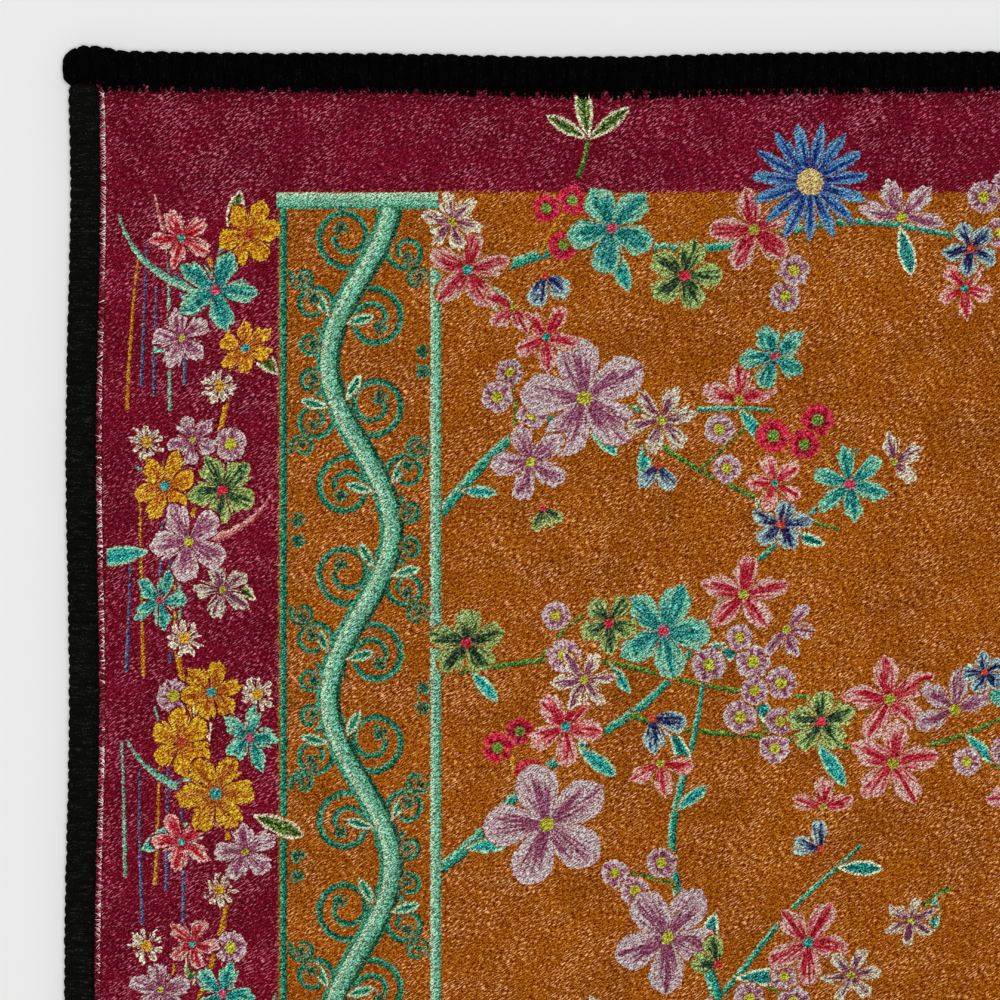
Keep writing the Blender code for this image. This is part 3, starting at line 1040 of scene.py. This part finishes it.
def stem_material():
    """Printed polyester pile, stems and scrolls: a light upper side over a dark lower one."""
    material, tree = new_material("Printed polyester pile, stems")
    place = place_in_mm(tree)
    flat, shape, _, (rim, middle, stroke, _) = motif_parts(tree)
    half, across = shape.outputs[0], flat.outputs[1]
    off = add(tree, "Math", across, operation="ABSOLUTE")
    inside = add(tree, "Math", half, off, operation="SUBTRACT")
    level = add(tree, "Math", across, wander(tree, place, 1.3, 1.6), operation="ADD")
    level = add(tree, "Math", level, half, operation="DIVIDE")
    colour = add(tree, "MixRGB", add(tree, "MapRange", level, 0.20, 0.32), middle, rim)
    colour = add(tree, "MixRGB", add(tree, "MapRange", level, -0.55, -0.68), colour, stroke)
    finish_motif(tree, place, inside, colour)
    return material


def backing_material():
    """Latex-coated woven backing: threads about 0.6 mm apart under a dull, uneven coat."""
    material, tree = new_material("Latex-coated woven backing")
    place = place_in_mm(tree)
    weave = add(tree, "TexWave", place, 0.55, 0.4, 1.0, bands_direction="X")
    weft = add(tree, "TexWave", place, 0.55, 0.4, 1.0, bands_direction="Y")
    threads = add(tree, "Math", weave.outputs[1], weft.outputs[1], operation="MULTIPLY")
    coat = add(tree, "TexNoise", place, None, 0.15, 4.0)
    coat = add(tree, "MapRange", coat, 0.3, 0.7, 0.75, 1.2)
    colour = add(tree, "VectorMath", linear(UNDERSIDE)[:3], None, None, coat, operation="SCALE")
    shader = add(tree, "BsdfPrincipled", colour)
    shader.inputs["Roughness"].default_value = 0.8
    bump = add(tree, "Bump", 0.5, RELIEF, None, threads)
    tree.links.new(bump.outputs[0], shader.inputs["Normal"])
    add(tree, "OutputMaterial", shader)
    return material


def yarn_material(across):
    """Black spun polyester yarn, overlocked: matt fluff along the yarn, with painted grey glints on its
    fibre ends. The side runs are painted lighter than the end runs.
    """
    material, tree = new_material("Black overlocked yarn, run across " + across)
    place = place_in_mm(tree)
    squeeze = (0.35, 2.8, 0.6) if across == "X" else (2.8, 0.35, 0.6)
    strands = add(tree, "Mapping", place, None, None, squeeze)
    strands = add(tree, "TexNoise", strands, None, 1.0, 2.0)
    fluff = add(tree, "TexNoise", place, None, 2.4, 2.0)
    both = add(tree, "Math", strands, fluff, operation="MULTIPLY")
    # Painted glints: where both noises are high, the fluff is painted a paler grey.
    pale = add(tree, "MapRange", both, 0.30, 0.42)
    # Painted light: the side runs get lighter blacks than the end runs, as more light falls on them.
    dull, strand_glint_grey = ("#0b0b0a", "#2c2b29") if across == "X" else ("#020202", "#121214")
    colour = add(tree, "MixRGB", pale, linear(dull), linear(strand_glint_grey))
    shader = add(tree, "BsdfPrincipled", colour)
    shader.inputs["Roughness"].default_value = 0.9
    shader.inputs["Specular IOR Level"].default_value = 0.02
    bump = add(tree, "Bump", 0.7, RELIEF, None, both)
    tree.links.new(bump.outputs[0], shader.inputs["Normal"])
    add(tree, "OutputMaterial", shader)
    return material


def tuft_material():
    """Cut pile ends of polyester: bare pinkish white at the long sides, crimson at the ends."""
    material, tree = new_material("Cut pile ends")
    dye = add(tree, "Attribute", attribute_name="dye_tuft").outputs["Color"]
    shader = add(tree, "BsdfPrincipled", dye)
    shader.inputs["Roughness"].default_value = 0.85
    shader.inputs["Specular IOR Level"].default_value = 0.2
    add(tree, "OutputMaterial", shader)
    return material


# The edging: turns of yarn over a dark core.

SECTION_ROUNDNESS = 2.5
EDGING_WALL = 2.4
YARN_THICKNESS = 1.5
# How far apart the turns of yarn lie, and how far in from a run's end the last one is.
END_PITCH, SIDE_PITCH = 3.3, 2.6
LAST_TURN = 1.75
# A turn is open by this angle either way, where the backing rim goes in.
YARN_GROOVE, CORE_GROOVE = 0.40, 0.62
CORE_INSET = 0.8
# How far the side runs reach under the end runs.
TUCK = 1.3


def fullness(part_of_turn):
    """Fills out a circle's coordinate towards a square's."""
    return math.copysign(abs(part_of_turn) ** (2 / SECTION_ROUNDNESS), part_of_turn)


def end_size(end, distance):
    """The size of the roll's section at this distance from an end."""
    for (near, small), (far, large) in zip(end, end[1:]):
        if distance <= far:
            return small + (large - small) * (distance - near) / (far - near)
    return 1.0


def on_run(side, along, inset, height):
    """A point of an edging run, from its place along the side, its inset and its height."""
    if side in ("left", "right"):
        return (side_line(side, along, inset), along, height)
    return (along, end_line(side, along, inset), height)


def side_reach():
    """Where a long side's run starts and stops, tucked a little under the end runs."""
    across = [side_line("left", 0.0, inset) for inset in (0.0, SIDE_EDGING)]
    low = max(end_line("bottom", x, END_EDGING) for x in across)
    high = min(end_line("top", x, END_EDGING) for x in across)
    return low - TUCK, high + TUCK


def select_only(made):
    """Selects one object and makes it active."""
    bpy.ops.object.select_all(action="DESELECT")
    made.select_set(True)
    bpy.context.view_layer.objects.active = made


def settle(made, side, width, low, high, end, stretch, out=0.0):
    """Moves a straight roll's points to where they lie along the side, at their size there."""
    for vertex in made.data.vertices:
        along = vertex.co.y * stretch
        size = end_size(end, max(min(along - low, high - along), 0.0))
        swell = max(size, 1.0)
        inset = width / 2 * (2.0 - swell) - vertex.co.x * size - out
        place = on_run(side, along, inset, EDGING_HEIGHT / 2 * swell + vertex.co.z * size)
        vertex.co = Vector(place) * MM


def yarn_turns(name, side, low, high, width, pitch, end, seed):
    """The turns of yarn of one run: a flattened tube each, open towards the rug's rim."""
    rng = random.Random(seed)
    long_side = side in ("left", "right")
    flatten = pitch * (1.30 if long_side else 1.10) / YARN_THICKNESS
    first, last = low + LAST_TURN, high - LAST_TURN
    turns = round((last - first) / pitch)
    data = bpy.data.curves.new(name, "CURVE")
    data.dimensions = "3D"
    data.bevel_depth = YARN_THICKNESS / 2
    data.bevel_resolution = 2
    data.use_fill_caps = True
    steps = 16
    for turn in range(turns + 1):
        along = first + (last - first) * turn / turns
        # The turns slant as they cross the top, but not the last ones on a knob.
        slant = 0.28 * pitch * min((along - first) / 8, (last - along) / 8, 1.0)
        loose = rng.uniform(-0.16, 0.0)
        spline = data.splines.new("POLY")
        spline.points.add(steps)
        for step, point in enumerate(spline.points):
            angle = math.pi + YARN_GROOVE + (math.tau - 2 * YARN_GROOVE) * step / steps
            across = fullness(math.cos(angle)) * (width / 2 - YARN_THICKNESS / 2 + loose)
            up = fullness(math.sin(angle)) * (EDGING_HEIGHT / 2 - YARN_THICKNESS / 2 + loose)
            lean = slant * math.sin(angle) + rng.uniform(-0.08, 0.08)
            point.co = (across, (along + lean) / flatten, up, 1)
            point.radius = rng.uniform(0.88, 1.0)
        if not long_side and abs(along) < RUG_WIDTH / 2 - SIDE_EDGING - 1.5:
            for _ in range(5):
                add_fluff(data, rng, along + rng.uniform(-0.5, 0.5) * pitch, width, flatten)
    guide = bpy.data.objects.new(name, data)
    bpy.context.scene.collection.objects.link(guide)
    select_only(guide)
    bpy.ops.object.convert(target="MESH")
    made = bpy.context.view_layer.objects.active
    settle(made, side, width, low, high, end, flatten, 0.35 if long_side else 0.0)
    return made


def add_fluff(data, rng, along, width, flatten):
    """A loose fibre of yarn that lies from an end edging over the pile's edge."""
    spline = data.splines.new("POLY")
    spline.points.add(2)
    start = width / 2 - 1.1
    far = width / 2 + GAP + rng.uniform(0.2, 1.0) + 0.5 * math.sin(along / 31.0)
    over = PILE_HEIGHT - EDGING_HEIGHT / 2
    swerve = rng.uniform(-0.9, 0.9)
    places = ((start, 0.0, 2.0), ((start + far) / 2, 0.5, over + 0.28), (far, 1.0, over + 0.10))
    for point, (across, part, up) in zip(spline.points, places):
        point.co = (-across, (along + swerve * part) / flatten, up, 1)
        point.radius = 0.30 - 0.18 * part


def core_section(width):
    """The dark core's section: a rounded roll with the groove that takes the backing rim."""
    half_wide, half_high = width / 2 - CORE_INSET, EDGING_HEIGHT / 2 - CORE_INSET
    lip = (RIM_HIGH - RIM_LOW) / 2 + GAP
    points = []
    for step in range(17):
        angle = math.pi + CORE_GROOVE + (math.tau - 2 * CORE_GROOVE) * step / 16
        points.append((fullness(math.cos(angle)) * half_wide, fullness(math.sin(angle)) * half_high))
    points.append((points[-1][0], lip))
    points.append((width / 2 - EDGING_WALL, lip))
    points.append((width / 2 - EDGING_WALL, -lip))
    points.append((points[0][0], -lip))
    return points


def edging_core(name, side, low, high, width, end):
    """The core that fills the run under its yarn: its section, extruded along the run."""
    section = core_section(width)
    near = [distance for distance, _ in end]
    inner = [low + near[-1] + (high - low - 2 * near[-1]) * i / 60 for i in range(61)]
    places = [low + d for d in near[:-1]] + inner + [high - d for d in reversed(near[:-1])]
    places[0] += 0.5
    places[-1] -= 0.5
    bpy.ops.object.select_all(action="DESELECT")
    bpy.ops.mesh.primitive_circle_add(vertices=len(section), fill_type="NGON")
    made = bpy.context.active_object
    made.name = name
    for vertex, (across, up) in zip(made.data.vertices, section):
        vertex.co = (across, places[0], up)
    bpy.ops.object.mode_set(mode="EDIT")
    bpy.ops.mesh.select_all(action="SELECT")
    for before, after in zip(places, places[1:]):
        bpy.ops.mesh.extrude_region_move(TRANSFORM_OT_translate={"value": (0.0, after - before, 0.0)})
    bpy.ops.object.mode_set(mode="OBJECT")
    settle(made, side, width, low, high, end, 1.0)
    return made


def outward(made):
    """Merges doubled points and turns every face outwards."""
    select_only(made)
    bpy.ops.object.mode_set(mode="EDIT")
    bpy.ops.mesh.select_all(action="SELECT")
    bpy.ops.mesh.remove_doubles(threshold=1e-6)
    bpy.ops.mesh.normals_make_consistent(inside=False)
    bpy.ops.object.mode_set(mode="OBJECT")


def make_edging():
    """The four runs of overlocked edging."""
    side_low, side_high = side_reach()
    half = RUG_WIDTH / 2
    runs = (
        ("top", -half, half, END_EDGING, END_PITCH, KNOB_END),
        ("bottom", -half, half, END_EDGING, END_PITCH, KNOB_END),
        ("left", side_low, side_high, SIDE_EDGING, SIDE_PITCH, PLAIN_END),
        ("right", side_low, side_high, SIDE_EDGING, SIDE_PITCH, PLAIN_END),
    )
    yarns = {"X": yarn_material("X"), "Y": yarn_material("Y")}
    for seed, (side, low, high, width, pitch, end) in enumerate(runs):
        made = yarn_turns("yarn_" + side, side, low, high, width, pitch, end, seed)
        core = edging_core("core_" + side, side, low, high, width, end)
        outward(core)
        select_only(made)
        core.select_set(True)
        bpy.ops.object.join()
        made.data.materials.clear()
        made.data.materials.append(yarns["X" if side in ("left", "right") else "Y"])
        made.data.shade_smooth()
        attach(made, "root")
        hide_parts("edging_" + side)


def tuft_rows():
    """Where the tufts run: side, start, end and the width of the edging there."""
    low, high = side_reach()
    reach = RUG_WIDTH / 2 - SIDE_EDGING - 1.0
    rows = [(side, low + 2.4, high - 2.4, SIDE_EDGING) for side in ("left", "right")]
    return rows + [(side, -reach, reach, END_EDGING) for side in ("top", "bottom")]


def tuft_points(rng, side, along, width):
    """A tuft's four root points and its tip: bent over the yarn at the sides, short at the ends."""
    long_side = side in ("left", "right")
    root = width + GAP + rng.uniform(0.0, 0.25)
    thick = rng.uniform(0.08, 0.18)
    low, high = PILE_HEIGHT - 0.6, PILE_HEIGHT + 0.04
    corners = ((-thick, low), (thick, low), (thick, high), (-thick, high))
    points = [on_run(side, along + shift, root, height) for shift, height in corners]
    out = rng.uniform(0.4, 1.4) if long_side else rng.uniform(0.3, 0.9)
    tip = PILE_HEIGHT + (rng.uniform(-0.05, 0.2) if long_side else rng.uniform(0.3, 0.5))
    points.append(on_run(side, along + rng.uniform(-1.2, 1.2), width + GAP - out, tip))
    return points


def make_tufts():
    """The ragged cut pile along the cloth's edge: one cone, copied by an array and laid out."""
    rng = random.Random(21)
    bare = [linear(text) for text in BARE_ENDS]
    dyed = [linear(text) for text in DYED_ENDS]
    points, colours = [], []
    for side, low, high, width in tuft_rows():
        long_side = side in ("left", "right")
        along = low
        while along < high:
            along += rng.uniform(0.16, 0.44) if long_side else rng.uniform(0.5, 1.6)
            points += tuft_points(rng, side, along, width)
            # Undyed fibre shows in stretches along the long sides.
            stretch = math.sin(along / 5.3) + math.sin(along / 13.1 + 1.0) + rng.uniform(-1.3, 1.3)
            colours.append(rng.choice(bare if long_side and stretch > -0.7 else dyed))
    bpy.ops.object.select_all(action="DESELECT")
    bpy.ops.mesh.primitive_cone_add(vertices=4, radius1=1.0, depth=1.0)
    made = bpy.context.active_object
    made.name = "cut_pile_edge"
    row = made.modifiers.new("row", "ARRAY")
    row.count = len(colours)
    bpy.ops.object.modifier_apply(modifier="row")
    made.location = (0.0, 0.0, 0.0)
    mesh = made.data
    mesh.vertices.foreach_set("co", (np.array(points) * MM).ravel())
    mesh.update()
    dyes = mesh.attributes.new("dye_tuft", "FLOAT_COLOR", "FACE")
    dyes.data.foreach_set("color", np.repeat(np.array(colours), 5, axis=0).ravel())
    outward(made)
    mesh.materials.append(tuft_material())
    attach(made, "root")
    return made


def make_cloth(tufts):
    """The printed pile cloth."""
    mesh = sheet_mesh(design())
    made = bpy.data.objects.new("printed_pile", mesh)
    bpy.context.scene.collection.objects.link(made)
    for material in (
        ground_material(),
        blossom_material(),
        leaf_material(),
        stem_material(),
        backing_material(),
    ):
        mesh.materials.append(material)
    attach(made, "root")
    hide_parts("rug_body")


# The stage: a plain pale floor, soft light from above and all round, and the camera overhead.

VIEW_X, VIEW_Y = -195.5, 343.5
VIEW_SIZE = 250.0
CAMERA_HEIGHT = 1500.0
FLOOR_COLOUR = "#eaeaea"
SKY_STRENGTH = 0.335
# The lights. Columns: name, place in metres, width in metres, watts.
LIGHTS = (
    ("overhead", (-0.1, 0.25, 2.6), 1.1, 40.0),
    ("soft_sky", (-0.9, 1.4, 2.2), 2.6, 11.5),
)


def make_stage():
    """The floor, the lights, the sky and the camera."""
    scene = bpy.context.scene
    bpy.ops.mesh.primitive_plane_add(size=6.0, location=(0.0, 0.0, -0.0004))
    floor = bpy.context.active_object
    floor.name = "studio_floor"
    material, tree = new_material("Pale matt floor")
    shader = add(tree, "BsdfPrincipled", linear(FLOOR_COLOUR))
    shader.inputs["Roughness"].default_value = 0.9
    add(tree, "OutputMaterial", shader)
    floor.data.materials.append(material)
    for name, place, size, power in LIGHTS:
        data = bpy.data.lights.new(name, "AREA")
        data.shape = "DISK"
        data.size = size
        data.energy = power
        lamp = bpy.data.objects.new(name, data)
        lamp.location = place
        lamp.rotation_euler = (-Vector(place)).to_track_quat("-Z", "Y").to_euler()
        scene.collection.objects.link(lamp)
    world = bpy.data.worlds.new("studio_air")
    world.use_nodes = True
    background = world.node_tree.nodes["Background"]
    background.inputs[0].default_value = (1.0, 1.0, 1.0, 1.0)
    background.inputs[1].default_value = SKY_STRENGTH
    scene.world = world
    data = bpy.data.cameras.new("overhead_camera")
    data.sensor_width = 36.0
    data.lens = 36.0 * (CAMERA_HEIGHT - PILE_HEIGHT) / VIEW_SIZE
    data.clip_end = 50.0
    camera = bpy.data.objects.new("overhead_camera", data)
    camera.location = (VIEW_X * MM, VIEW_Y * MM, CAMERA_HEIGHT * MM)
    scene.collection.objects.link(camera)
    scene.camera = camera
    scene.view_settings.view_transform = "Standard"


make_edging()
make_cloth(make_tufts())
make_stage()
